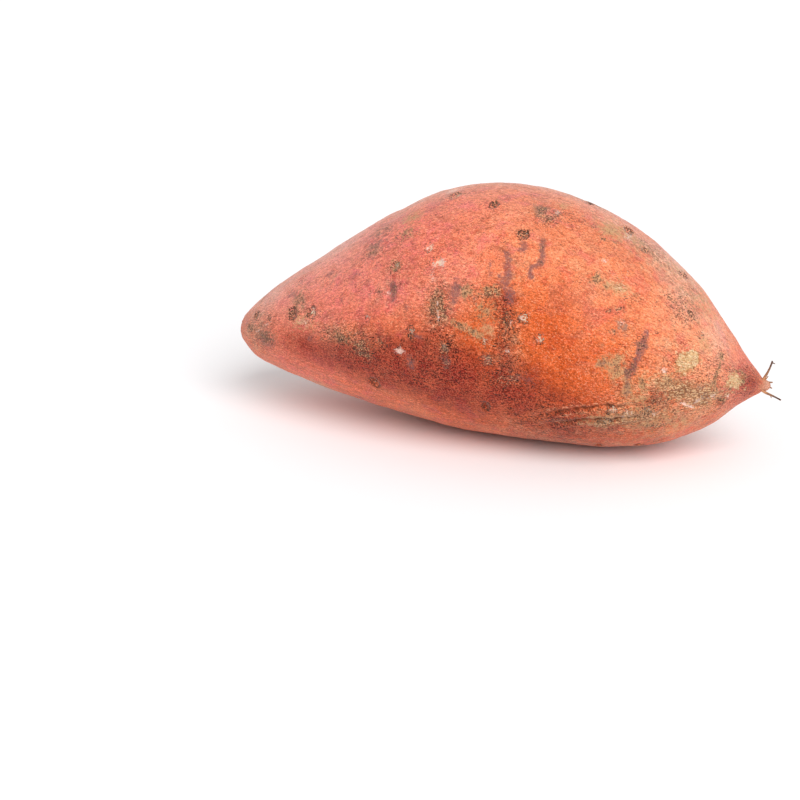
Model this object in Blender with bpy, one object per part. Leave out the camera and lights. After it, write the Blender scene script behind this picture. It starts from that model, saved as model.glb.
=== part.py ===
"""A whole raw sweet potato, lying on its belly.

Frame: +X runs along the root from the vine end to the root tip, +Z is up, and the
origin is on the surface that the root rests on, under the middle of its bounding box.
Everything grew as one piece, so it is one closed solid: a spindle shaped by a few
stations, with its swells, lengthwise folds and root scars raised from the surface by
formulas, and the fine roots at the tip joined to it. Lengths are in millimetres until
the finished solid is scaled to metres.
"""

import math

import bmesh
import bpy
import numpy as np
from mathutils import Matrix, Vector

MM = 0.001

# The spindle at a few stations from the vine end to the root tip: (distance along,
# height of the axis, sideways sway, half width, top above the axis, belly below the
# axis). One smooth curve runs through them.
STATIONS = (
    (0.8, 24.6, -3.0, 0.0, 0.0, 0.0),
    (6.0, 25.4, -2.6, 9.6, 8.0, 9.0),
    (19.0, 28.2, -1.6, 18.5, 15.8, 16.8),
    (39.0, 32.5, -0.4, 27.5, 25.9, 26.0),
    (61.0, 37.0, 0.6, 35.5, 35.3, 34.5),
    (85.0, 39.0, 1.2, 40.5, 40.1, 39.6),
    (107.0, 38.0, 1.0, 40.0, 39.5, 38.6),
    (129.0, 34.0, 0.2, 36.0, 35.4, 34.0),
    (147.0, 29.5, -0.8, 27.0, 27.6, 26.0),
    (160.5, 27.2, -1.6, 16.2, 16.2, 16.0),
    (168.0, 26.0, -2.0, 8.3, 8.2, 8.4),
    (171.5, 25.5, -2.2, 5.3, 5.1, 5.1),
    (173.8, 25.1, -2.3, 3.4, 3.1, 3.2),
    (175.0, 24.9, -2.3, 2.1, 1.9, 2.1),
    (176.8, 24.9, -2.3, 1.5, 1.4, 1.5),
    (177.7, 24.9, -2.3, 0.0, 0.0, 0.0),
)
STEPS_A_SPAN = 40
SECTION_COUNT = 400

# Places on the skin are given as (distance along, turn). A turn is in degrees about the
# axis: 0 is the front, 90 the top and 180 the back.

# Broad swells, and dents where the height is negative:
# (distance along, turn, reach along, reach round the girth, height)
SWELLS = (
    (107.0, 2.0, 6.0, 26.0, -0.9),
    (37.0, 45.0, 15.0, 16.0, -0.7),
    (96.0, 40.0, 12.0, 18.0, 0.5),
    (132.0, 5.0, 16.0, 14.0, 0.8),
    (150.0, 40.0, 10.0, 12.0, 0.6),
    (112.0, -48.0, 20.0, 8.0, 1.0),
    (60.0, 170.0, 22.0, 20.0, 1.6),
    (98.0, 205.0, 16.0, 14.0, -1.3),
    (128.0, 160.0, 18.0, 16.0, 1.1),
    (40.0, 230.0, 14.0, 12.0, -0.9),
    (56.0, 86.0, 8.0, 14.0, -0.8),
    (98.8, 93.0, 7.0, 12.0, -0.5),
    (133.5, 97.0, 5.0, 9.0, -0.7),
    (153.5, 102.0, 5.0, 9.0, 0.7),
    (162.5, 94.0, 3.2, 7.0, -1.0),
    (162.0, -55.0, 9.0, 9.0, 0.3),
)

# Lengthwise folds of the skin near the belly: the places that each runs through.
FOLDS = (
    ((107.0, -35.0), (117.0, -27.5), (125.0, -21.5), (133.0, -17.0), (147.0, -13.5)),
    ((111.0, -39.5), (118.0, -34.0), (125.5, -29.5), (134.0, -26.5), (151.0, -19.0)),
    ((82.0, 223.0), (96.0, 217.0), (112.0, 213.0), (128.0, 215.0)),
)
FOLD_DEPTH = 1.1
FOLD_WIDTH = 1.8
FOLD_FADE = 14.0
# A fold has a lip on either side: its height, and how many widths it stands away.
FOLD_LIP = 0.4
FOLD_LIP_AWAY = 1.9

# Root scars, the eyes of the skin: (distance along, turn, half width round the girth,
# half length, depth). The first is the scar where the root hung from the vine.
EYES = (
    (0.8, 0.0, 3.6, 3.6, 0.9),
    (26.6, 22.5, 2.6, 2.2, 1.0),
    (34.3, 19.5, 2.5, 2.1, 0.9),
    (64.2, 36.7, 2.6, 2.0, 0.8),
    (74.7, 44.0, 2.4, 1.9, 0.8),
    (78.8, 36.1, 2.6, 2.1, 0.9),
    (72.5, 4.7, 2.6, 1.8, 0.9),
    (76.0, 79.0, 2.8, 2.2, 1.0),
    (90.9, 70.0, 2.4, 2.0, 1.0),
    (103.2, 55.0, 2.4, 2.1, 1.0),
    (108.2, 17.4, 2.2, 1.9, 0.8),
    (114.0, 10.4, 2.2, 1.9, 0.9),
    (115.7, 101.0, 3.2, 1.8, 1.1),
    (130.2, 92.5, 3.4, 2.2, 1.5),
    (142.3, 24.0, 2.6, 1.9, 0.8),
    (147.9, 94.5, 2.8, 2.0, 1.1),
    (157.1, 49.5, 2.0, 1.8, 0.9),
    (135.3, -19.8, 2.3, 2.1, 1.0),
    (139.0, -20.9, 2.2, 1.8, 0.8),
    (164.3, -19.5, 2.0, 1.8, 1.0),
    (96.0, -30.0, 3.0, 2.2, 1.0),
    (58.0, -28.0, 3.0, 2.2, 1.1),
    (40.0, 112.0, 3.2, 2.2, 1.2),
    (58.0, 150.0, 3.4, 2.2, 1.1),
    (76.0, 188.0, 3.2, 2.2, 1.2),
    (88.0, 138.0, 3.2, 2.4, 1.3),
    (101.0, 172.0, 3.2, 2.2, 1.0),
    (118.0, 190.0, 3.4, 2.2, 1.2),
    (134.0, 150.0, 3.2, 2.2, 1.2),
    (150.0, 185.0, 2.8, 2.0, 1.1),
    (48.0, 208.0, 3.2, 2.2, 1.1),
    (66.0, 250.0, 3.2, 2.2, 1.0),
    (124.0, 246.0, 3.2, 2.2, 1.1),
    (140.0, 300.0, 3.0, 2.2, 1.0),
)
# An eye is a pit with a raised lip, as depth * (EYE_LIP * r**2 - 1) * exp(-EYE_FALL * r**2)
# at r half widths from its middle, and it has died away at r = EYE_REACH.
EYE_LIP = 1.6
EYE_FALL = 1.2
EYE_REACH = 3.0

RINGS = 48
SIDES = 56
# The skin's faces are halved twice near an eye or a fold: how far past it each time.
DETAIL_MARGINS = (2.6, 1.0)
# From here to the tip they are halved too, for the stub where the thin root tore off.
STUB_FROM = 172.5

# Fine roots left at the tip: each one's radius and the points that it runs through, from
# inside the tip outwards, as steps from the tip's own end.
ROOTLETS = (
    (0.60, ((-2.8, 0.0, 0.2), (-0.9, 0.0, 1.5), (0.4, 0.3, 4.7), (1.5, 0.6, 8.7))),
    (0.55, ((-3.0, -0.2, -0.2), (-1.9, -1.2, -0.9), (1.1, -1.2, -1.9), (5.4, -1.2, -3.3))),
    (0.48, ((-2.4, 0.0, 0.5), (-0.8, 0.0, 1.0), (1.1, 0.1, 1.4))),
    (0.45, ((-2.4, 0.1, -0.1), (-0.6, 0.1, -0.1), (0.8, 0.2, -0.7))),
)
ROOTLET_END = 0.55

CUT_MERGE = 0.02
WELD = 0.001

SKIN_COLOUR = (0.552, 0.122, 0.050, 1.0)
SKIN_ROUGHNESS = 0.55


def catmull_rom(before, start, end, after, t):
    """A point on the smooth curve from start to end, which are tuples of numbers."""
    return tuple(
        0.5 * (2 * b + (c - a) * t + (2 * a - 5 * b + 4 * c - d) * t**2
               + (3 * b - a - 3 * c + d) * t**3)
        for a, b, c, d in zip(before, start, end, after)
    )


def mirrored_end(inner):
    """The station past a rounded end: the inner one again, with its radii negative."""
    return inner[:3] + tuple(-radius for radius in inner[3:])


def section_curve(stations, count):
    """Sections at about equal steps along the skin, from one end to the other."""
    chain = [mirrored_end(stations[1]), *stations, mirrored_end(stations[-2])]
    fine = []
    for before, start, end, after in zip(chain, chain[1:], chain[2:], chain[3:]):
        fine += [catmull_rom(before, start, end, after, step / STEPS_A_SPAN)
                 for step in range(STEPS_A_SPAN)]
    fine = np.array([*fine, stations[-1]])
    travel = np.cumsum(np.hypot(np.diff(fine[:, 0]), np.diff(fine[:, 3])))
    travel = np.append(0.0, travel)
    goals = np.linspace(0.0, travel[-1], count + 1)
    return np.array([np.interp(goals, travel, column) for column in fine.T]).T


SECTIONS = section_curve(STATIONS, SECTION_COUNT)
ALONG = SECTIONS[:, 0]
SHARE = np.linspace(0.0, 1.0, SECTION_COUNT + 1)


def plain_skin(value, scale, turn):
    """The spindle's skin where value falls on a scale, ALONG or SHARE, at a turn."""
    along, rise, sway, half_width, above, below = (
        float(np.interp(value, scale, column)) for column in SECTIONS.T
    )
    height = (above + below) / 2 + (above - below) / 2 * math.sin(turn)
    return Vector((along, sway - half_width * math.cos(turn),
                   rise + height * math.sin(turn)))


def skin_place(along, degrees):
    """A place on the plain skin, and the direction there that runs round the girth."""
    turn = math.radians(degrees)
    return (plain_skin(along, ALONG, turn),
            Vector((0.0, math.sin(turn), math.cos(turn))))


def distances(spot, place):
    """How far a spot is from a place along the root, and how far round the girth."""
    centre, girthwise = place
    apart = spot - centre
    around = apart.dot(girthwise)
    return math.sqrt(max(apart.length_squared - around**2, 0.0)), around


SWELL_PLACES = [(skin_place(*swell[:2]), *swell[2:]) for swell in SWELLS]
EYE_PLACES = [(skin_place(*eye[:2]), *eye[2:]) for eye in EYES]
FOLD_LINES = [[skin_place(*stop)[0] for stop in fold] for fold in FOLDS]


def from_fold(spot, line):
    """A spot's signed distance from a fold, above it or below, and how deep it is there."""
    passed = 0.0
    nearest = None
    for start, end in zip(line, line[1:]):
        stretch = end - start
        share = max(0.0, min(1.0, (spot - start).dot(stretch) / stretch.length_squared))
        apart = spot - start - stretch * share
        if nearest is None or apart.length < abs(nearest[0]):
            nearest = (math.copysign(apart.length, apart.z),
                       passed + stretch.length * share)
        passed += stretch.length
    offset, travel = nearest
    fade = min(1.0, travel / FOLD_FADE, (passed - travel) / FOLD_FADE)
    return offset, max(0.0, fade)


def eye_distance(spot, eye):
    """How far a spot is from an eye, in the eye's own half width and half length."""
    place, half_width, half_length, _ = eye
    along, around = distances(spot, place)
    return math.hypot(along / half_length, around / half_width)


def relief(spot):
    """How high the real skin stands above this spot of the plain one."""
    height = 0.0
    for place, reach_along, reach_round, rise in SWELL_PLACES:
        along, around = distances(spot, place)
        height += rise * math.exp(-(along / reach_along)**2 - (around / reach_round)**2)
    for line in FOLD_LINES:
        offset, fade = from_fold(spot, line)
        valley = math.exp(-(offset / FOLD_WIDTH)**2)
        lip = math.exp(-(abs(offset) / FOLD_WIDTH - FOLD_LIP_AWAY)**2)
        height += fade * (FOLD_LIP * lip - FOLD_DEPTH * valley)
    for eye in EYE_PLACES:
        away = eye_distance(spot, eye)
        if away < EYE_REACH:
            profile = (EYE_LIP * away**2 - 1.0) * math.exp(-EYE_FALL * away**2)
            height += eye[-1] * profile
    return height


def is_detailed(spot, margin):
    """True near an eye or a fold, where the skin needs finer faces."""
    near_eye = any(
        (spot - place[0]).length < half_width + margin
        for place, half_width, _, _ in EYE_PLACES
    )
    return near_eye or any(
        fade > 0.0 and abs(offset) < FOLD_WIDTH + margin
        for offset, fade in (from_fold(spot, line) for line in FOLD_LINES)
    ) or spot.x > STUB_FROM


def on_spindle(direction):
    """The spindle's skin in a direction from the middle of the sphere it is shaped from."""
    share = math.acos(max(-1.0, min(1.0, -direction.z))) / math.pi
    return plain_skin(share, SHARE, math.atan2(direction.y, direction.x))


def body_mesh():
    """The sweet potato without its rootlets, cut flat where it rests."""
    skin = bmesh.new()
    bmesh.ops.create_uvsphere(skin, u_segments=SIDES, v_segments=RINGS, radius=1.0)
    for margin in DETAIL_MARGINS:
        detailed = {vert for vert in skin.verts
                    if is_detailed(on_spindle(vert.co.normalized()), margin)}
        edges = [edge for edge in skin.edges if detailed.issuperset(edge.verts)]
        bmesh.ops.subdivide_edges(skin, edges=edges, cuts=1, use_grid_fill=True)
    for vert in skin.verts:
        vert.co = on_spindle(vert.co.normalized())
    # The spindle is the sphere's mirror image, so its faces have to be turned outward.
    bmesh.ops.reverse_faces(skin, faces=skin.faces)
    skin.normal_update()
    raised = [vert.co + vert.normal * relief(vert.co) for vert in skin.verts]
    for vert, spot in zip(skin.verts, raised):
        vert.co = spot

    cut = bmesh.ops.bisect_plane(
        skin, geom=[*skin.verts, *skin.edges, *skin.faces], dist=CUT_MERGE,
        plane_co=(0.0, 0.0, 0.0), plane_no=(0.0, 0.0, 1.0), clear_inner=True,
    )["geom_cut"]
    rim = [piece for piece in cut if isinstance(piece, bmesh.types.BMEdge)]
    for edge in rim:
        for vert in edge.verts:
            vert.co.z = 0.0
    bmesh.ops.edgeloop_fill(skin, edges=rim)
    skin.normal_update()
    bmesh.ops.recalc_face_normals(skin, faces=skin.faces)
    mesh = bpy.data.meshes.new("sweet_potato")
    skin.to_mesh(mesh)
    skin.free()
    return mesh


def rootlet(radius, steps, tip, collection):
    """One fine root, a thin tapering tube that starts inside the tip."""
    curve = bpy.data.curves.new("rootlet", "CURVE")
    curve.dimensions = "3D"
    curve.bevel_depth = radius
    curve.bevel_resolution = 1
    curve.use_fill_caps = True
    line = curve.splines.new("POLY")
    line.points.add(len(steps) - 1)
    for index, (point, step) in enumerate(zip(line.points, steps)):
        point.co = (*(tip + Vector(step)), 1.0)
        point.radius = 1.0 - (1.0 - ROOTLET_END) * index / (len(steps) - 1)
    guide = bpy.data.objects.new("rootlet_line", curve)
    mesh = bpy.data.meshes.new_from_object(guide)
    bpy.data.objects.remove(guide)

    tube = bmesh.new()
    tube.from_mesh(mesh)
    bmesh.ops.remove_doubles(tube, verts=tube.verts, dist=WELD)
    bmesh.ops.recalc_face_normals(tube, faces=tube.faces)
    tube.to_mesh(mesh)
    tube.free()
    collection.objects.link(bpy.data.objects.new("rootlet", mesh))


def join_rootlets(body):
    """Fuse the fine roots with the body and clear their own objects away."""
    rootlets = bpy.data.collections.new("rootlets")
    bpy.context.scene.collection.children.link(rootlets)
    along, rise, sway = STATIONS[-1][:3]
    for radius, steps in ROOTLETS:
        rootlet(radius, steps, Vector((along, sway, rise)), rootlets)
    union = body.modifiers.new("rootlets", "BOOLEAN")
    union.operation = "UNION"
    union.operand_type = "COLLECTION"
    union.collection = rootlets
    bpy.context.view_layer.update()
    graph = bpy.context.evaluated_depsgraph_get()
    joined = bpy.data.meshes.new_from_object(body.evaluated_get(graph))
    body.modifiers.clear()
    body.data = joined
    for piece in list(rootlets.objects):
        bpy.data.objects.remove(piece, do_unlink=True)
    bpy.data.collections.remove(rootlets)


def place_on_origin(body):
    """Scale to metres, with the origin under the middle of the bounding box."""
    spots = np.array([vert.co for vert in body.data.vertices])
    middle = (spots.min(axis=0) + spots.max(axis=0)) / 2
    body.data.transform(Matrix.Scale(MM, 4) @ Matrix.Translation(
        (-middle[0], -middle[1], 0.0)))


def skin_material():
    """Copper-red sweet potato skin, dull with a faint wax."""
    material = bpy.data.materials.new("sweet_potato_skin")
    material.use_nodes = True
    shader = material.node_tree.nodes["Principled BSDF"]
    shader.inputs["Base Color"].default_value = SKIN_COLOUR
    shader.inputs["Roughness"].default_value = SKIN_ROUGHNESS
    shader.inputs["Metallic"].default_value = 0.0
    return material


def main():
    for thing in list(bpy.data.objects):
        bpy.data.objects.remove(thing, do_unlink=True)
    body = bpy.data.objects.new("sweet_potato", body_mesh())
    bpy.context.scene.collection.objects.link(body)
    join_rootlets(body)
    place_on_origin(body)
    body.data.shade_smooth()
    body.data.materials.clear()
    body.data.materials.append(skin_material())


main()
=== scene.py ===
# %% [markdown]
# # A raw sweet potato
#
# A sweet potato is a swollen root. It grew as one piece, so it is modelled as one skin:
# a spindle whose outline is a smooth curve through a few stations, with eyes, folds and
# swells raised from it, and a few dry rootlets at its tip. All the rest of its look is
# in its colour: copper skin with bruises, scurf, grains of earth and corky spots.
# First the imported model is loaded. It is the frame that every new piece has to fit.

# %% Load the frame
import math

import bmesh
import bpy
import numpy as np
from mathutils import Matrix, Vector, noise


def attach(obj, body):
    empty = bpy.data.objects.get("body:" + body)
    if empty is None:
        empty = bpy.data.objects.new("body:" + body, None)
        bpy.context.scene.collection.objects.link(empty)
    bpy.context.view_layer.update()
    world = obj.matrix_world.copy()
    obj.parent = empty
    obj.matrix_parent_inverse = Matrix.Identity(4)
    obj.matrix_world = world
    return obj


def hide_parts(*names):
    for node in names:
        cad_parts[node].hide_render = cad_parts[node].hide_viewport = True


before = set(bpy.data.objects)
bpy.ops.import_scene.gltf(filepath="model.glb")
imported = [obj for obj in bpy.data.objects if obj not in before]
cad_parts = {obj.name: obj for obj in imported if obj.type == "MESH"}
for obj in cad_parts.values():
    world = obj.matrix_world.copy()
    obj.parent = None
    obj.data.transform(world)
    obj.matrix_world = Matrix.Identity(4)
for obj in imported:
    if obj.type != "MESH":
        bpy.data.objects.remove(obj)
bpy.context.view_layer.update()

MM = 0.001


# %% [markdown]
# ## Helpers
#
# A mesh, a lens or a lamp is only seen once an object holds it, so one function makes the object and
# puts it in the scene. Colours are given as sRGB hex values, but a shader works with linear light, so
# one turns the first into the second. Every material here starts as one Principled shader, to which one
# function gives the numbers and colours that are the same all over. The last adds a node, sets it and
# wires it in one call: a value for an input is set on its socket, and a socket is linked.

# %% Helpers for objects, colours, materials and nodes
def new_object(name, data):
    """An object that holds this data, in the scene."""
    made = bpy.data.objects.new(name, data)
    bpy.context.scene.collection.objects.link(made)
    return made


def linear(hex_colour):
    """An sRGB hex colour such as "E0805F" as the linear RGBA that a shader takes."""
    parts = [int(hex_colour[i:i + 2], 16) / 255 for i in (0, 2, 4)]
    return (*(c / 12.92 if c <= 0.04045 else ((c + 0.055) / 1.055)**2.4 for c in parts), 1.0)


def new_material(name, even):
    """A material, its node tree and its shader, with what is the same all over set on it."""
    material = bpy.data.materials.new(name)
    material.use_nodes = True
    shader = material.node_tree.nodes["Principled BSDF"]
    for socket, value in even.items():
        shader.inputs[socket].default_value = value
    return material, material.node_tree, shader


def add_node(tree, kind, inputs=None, **settings):
    """A new node with its settings, and its inputs set to values or linked to sockets."""
    node = tree.nodes.new(kind)
    for name, value in settings.items():
        setattr(node, name, value)
    for name, value in (inputs or {}).items():
        if isinstance(value, bpy.types.NodeSocket):
            tree.links.new(value, node.inputs[name])
        else:
            node.inputs[name].default_value = value
    return node


print("salmon in linear light:", [round(c, 3) for c in linear("E0805F")])


# %% [markdown]
# ## The camera
#
# A long lens from 0.7 m away, 20 degrees round towards the root's tip and 20 degrees up,
# shows the root as a product photograph does. The camera isn't aimed at the root's
# middle but beside it, so that the root stands right of the picture's middle and above
# it. How far beside comes from the pixel at which the root's middle has to appear.

# %% Camera
PICTURE = 800
MIDDLE_PIXEL = (497.5, 308.5)
PIXELS_A_MM = 3.13
LENS_MM = 100.0
SENSOR_MM = 36.0
CAMERA_TURN = math.radians(20)
CAMERA_RISE = math.radians(20)
ROOT_MIDDLE = Vector((-3.76, -1.19, 39.4)) * MM

back = Vector((math.sin(CAMERA_TURN) * math.cos(CAMERA_RISE),
               -math.cos(CAMERA_TURN) * math.cos(CAMERA_RISE), math.sin(CAMERA_RISE)))
right = Vector((math.cos(CAMERA_TURN), math.sin(CAMERA_TURN), 0.0))
up = back.cross(right)
pixel = MM / PIXELS_A_MM
aim = (ROOT_MIDDLE - right * (MIDDLE_PIXEL[0] - PICTURE / 2) * pixel
       + up * (MIDDLE_PIXEL[1] - PICTURE / 2) * pixel)
camera_distance = LENS_MM / SENSOR_MM * PICTURE * pixel

lens = bpy.data.cameras.new("camera")
lens.lens = LENS_MM
lens.sensor_width = SENSOR_MM
camera = new_object("camera", lens)
camera.matrix_world = (Matrix.Translation(aim + back * camera_distance)
                       @ Matrix((right, up, back)).transposed().to_4x4())
bpy.context.scene.camera = camera
print("camera", [round(x, 3) for x in camera.location], "m, aimed", round(camera_distance, 3), "m away")


# %% [markdown]
# ## Floor and light
#
# The root lies on a white sweep with white all round, which is why its edges look pale:
# at a grazing angle any skin mirrors what stands beside it. A plain floor and a white
# world give that. The key light comes from the front right and 40 degrees up, so that
# the shadow falls behind the root and only the dark line of contact shows. It is a sun
# with a wide angle, as soft as a large softbox, because a lamp close by would light the
# near floor more than the far floor. The Standard view keeps the colours as they are
# set, where a film-like view would grey the white and the orange.

# %% Floor and light
bpy.context.scene.view_settings.view_transform = "Standard"

FLOOR_SIZE = 6.0
FLOOR_GAP = 0.1 * MM
floor_shape = bmesh.new()
bmesh.ops.create_grid(floor_shape, x_segments=1, y_segments=1, size=FLOOR_SIZE / 2)
floor_mesh = bpy.data.meshes.new("floor")
floor_shape.to_mesh(floor_mesh)
floor_shape.free()
paper = new_material("matt_white_paper", {
    "Base Color": linear("FDFCFD"), "Roughness": 0.9, "Specular IOR Level": 0.1})[0]
floor_mesh.materials.append(paper)
floor = new_object("floor", floor_mesh)
floor.location.z = -FLOOR_GAP

WORLD_STRENGTH = 0.62
world = bpy.data.worlds.new("white_room")
world.use_nodes = True
backdrop = world.node_tree.nodes["Background"].inputs
backdrop["Color"].default_value = linear("FFFFFF")
backdrop["Strength"].default_value = WORLD_STRENGTH
bpy.context.scene.world = world

KEY_STRENGTH = 2.4
KEY_ANGLE = math.radians(50)
KEY_FROM = Vector((0.54, -0.54, 0.64))
key = bpy.data.lights.new("key_softbox", "SUN")
key.energy = KEY_STRENGTH
key.angle = KEY_ANGLE
key_lamp = new_object("key_softbox", key)
key_lamp.rotation_euler = KEY_FROM.to_track_quat("Z", "Y").to_euler()
print("floor", FLOOR_SIZE, "m wide, key light from", KEY_FROM.normalized())


# %% [markdown]
# ## The spindle
#
# The shape comes from a list of stations along the root: how high its axis is there, how
# far it sways sideways, how wide it is and how far it reaches above and below the axis.
# A Catmull-Rom curve is smooth and passes through every station, so a station can be
# read off a photograph and set as it is. The stations are in millimetres from the vine
# end, and START moves them so that the origin is under the middle of the whole root.

# %% Stations and the curve through them
START = np.array((-92.26, -1.19, 0.0))
STATIONS = (
    (0.8, 24.6, -3.0, 0.0, 0.0, 0.0),
    (6.0, 25.4, -2.6, 9.6, 8.0, 9.0),
    (19.0, 28.2, -1.6, 18.5, 15.8, 16.8),
    (39.0, 32.5, -0.4, 27.5, 25.9, 26.0),
    (61.0, 37.0, 0.6, 35.5, 35.3, 34.5),
    (85.0, 39.0, 1.2, 40.5, 40.1, 39.6),
    (107.0, 38.0, 1.0, 40.0, 39.5, 38.6),
    (129.0, 34.0, 0.2, 36.0, 35.4, 34.0),
    (147.0, 29.5, -0.8, 27.0, 27.6, 26.0),
    (160.5, 27.2, -1.6, 16.2, 16.2, 16.0),
    (168.0, 26.0, -2.0, 8.3, 8.2, 8.4),
    (171.5, 25.5, -2.2, 5.3, 5.1, 5.1),
    (173.8, 25.1, -2.3, 3.4, 3.1, 3.2),
    (175.0, 24.9, -2.3, 2.1, 1.9, 2.1),
    (176.8, 24.9, -2.3, 1.5, 1.4, 1.5),
    (177.7, 24.9, -2.3, 0.0, 0.0, 0.0),
)
STEPS_A_SPAN = 40
SECTION_COUNT = 400


def catmull_rom(before, start, end, after, t):
    """A point on the smooth curve from start to end, which are tuples of numbers."""
    return tuple(
        0.5 * (2 * b + (c - a) * t + (2 * a - 5 * b + 4 * c - d) * t**2
               + (3 * b - a - 3 * c + d) * t**3)
        for a, b, c, d in zip(before, start, end, after)
    )


def mirrored_end(inner):
    """The station past a rounded end: the inner one again, with its radii negative."""
    return inner[:3] + tuple(-radius for radius in inner[3:])


def section_curve(stations, count):
    """Sections at equal steps along the skin, and how long the skin is from end to end."""
    chain = [mirrored_end(stations[1]), *stations, mirrored_end(stations[-2])]
    fine = []
    for before, start, end, after in zip(chain, chain[1:], chain[2:], chain[3:]):
        fine += [catmull_rom(before, start, end, after, step / STEPS_A_SPAN)
                 for step in range(STEPS_A_SPAN)]
    fine = np.array([*fine, stations[-1]])
    travel = np.cumsum(np.hypot(np.diff(fine[:, 0]), np.diff(fine[:, 3])))
    travel = np.append(0.0, travel)
    goals = np.linspace(0.0, travel[-1], count + 1)
    return np.array([np.interp(goals, travel, column) for column in fine.T]).T, travel[-1]


SECTIONS, SKIN_LENGTH = section_curve(STATIONS, SECTION_COUNT)
ALONG = SECTIONS[:, 0]
SHARE = np.linspace(0.0, 1.0, SECTION_COUNT + 1)
print("skin from end to end", round(SKIN_LENGTH, 1), "mm")


# %% [markdown]
# ## Places on the skin
#
# Everything on the skin is placed by how far along the root it is, in millimetres, and
# by its turn about the axis in degrees: 0 is the front, 90 the top and 180 the back.
# Those two numbers suit a long round thing, because they are what the eye reads off it.

# %% Places on the skin
def plain_skin(value, scale, turn):
    """The spindle's skin where value falls on a scale, ALONG or SHARE, at a turn."""
    along, rise, sway, half_width, above, below = (
        np.interp(value, scale, column) for column in SECTIONS.T
    )
    height = (above + below) / 2 + (above - below) / 2 * np.sin(turn)
    return START + np.stack((along, sway - half_width * np.cos(turn),
                             rise + height * np.sin(turn)), axis=-1)


def distances(spots, along, degrees):
    """How far spots are from a place on the skin, along the root and round its girth."""
    turn = math.radians(degrees)
    apart = spots - plain_skin(along, ALONG, turn)
    around = apart @ np.array((0.0, math.sin(turn), math.cos(turn)))
    return np.sqrt(np.maximum((apart**2).sum(axis=1) - around**2, 0.0)), around


BELLY_ALONG = 91.0
print("top of the belly at", plain_skin(BELLY_ALONG, ALONG, math.pi / 2).round(1), "mm")


# %% [markdown]
# ## Swells, folds and eyes
#
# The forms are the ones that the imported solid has. Swells are broad and low. Folds are
# creases that the skin makes lengthwise where the root bulged over a stone or its own
# weight. Eyes are scars where side roots grew: a pit, wider round the girth than it is
# long, with a raised lip. Each eye also says how dark its pit is and how pale its lip.

# %% Swells, folds and eyes
SWELLS = (
    (107, 2, 6, 26, -0.9),
    (37, 45, 15, 16, -0.7),
    (96, 40, 12, 18, 0.5),
    (132, 5, 16, 14, 0.8),
    (150, 40, 10, 12, 0.6),
    (112, -48, 20, 8, 1),
    (60, 170, 22, 20, 1.6),
    (98, 205, 16, 14, -1.3),
    (128, 160, 18, 16, 1.1),
    (40, 230, 14, 12, -0.9),
    (56, 86, 8, 14, -0.8),
    (98.8, 93, 7, 12, -0.5),
    (133.5, 97, 5, 9, -0.7),
    (153.5, 102, 5, 9, 0.7),
    (162.5, 94, 3.2, 7, -1),
    (162, -55, 9, 9, 0.3),
)
FOLDS = (
    ((107, -35), (117, -27.5), (125, -21.5), (133, -17), (147, -13.5)),
    ((111, -39.5), (118, -34), (125.5, -29.5), (134, -26.5), (151, -19)),
    ((82, 223), (96, 217), (112, 213), (128, 215)),
)
FOLD_DEPTH = 0.7
FOLD_WIDTH = 0.8
FOLD_FADE = 14.0
FOLD_LIP = 0.25
FOLD_LIP_AWAY = 1.9
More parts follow.
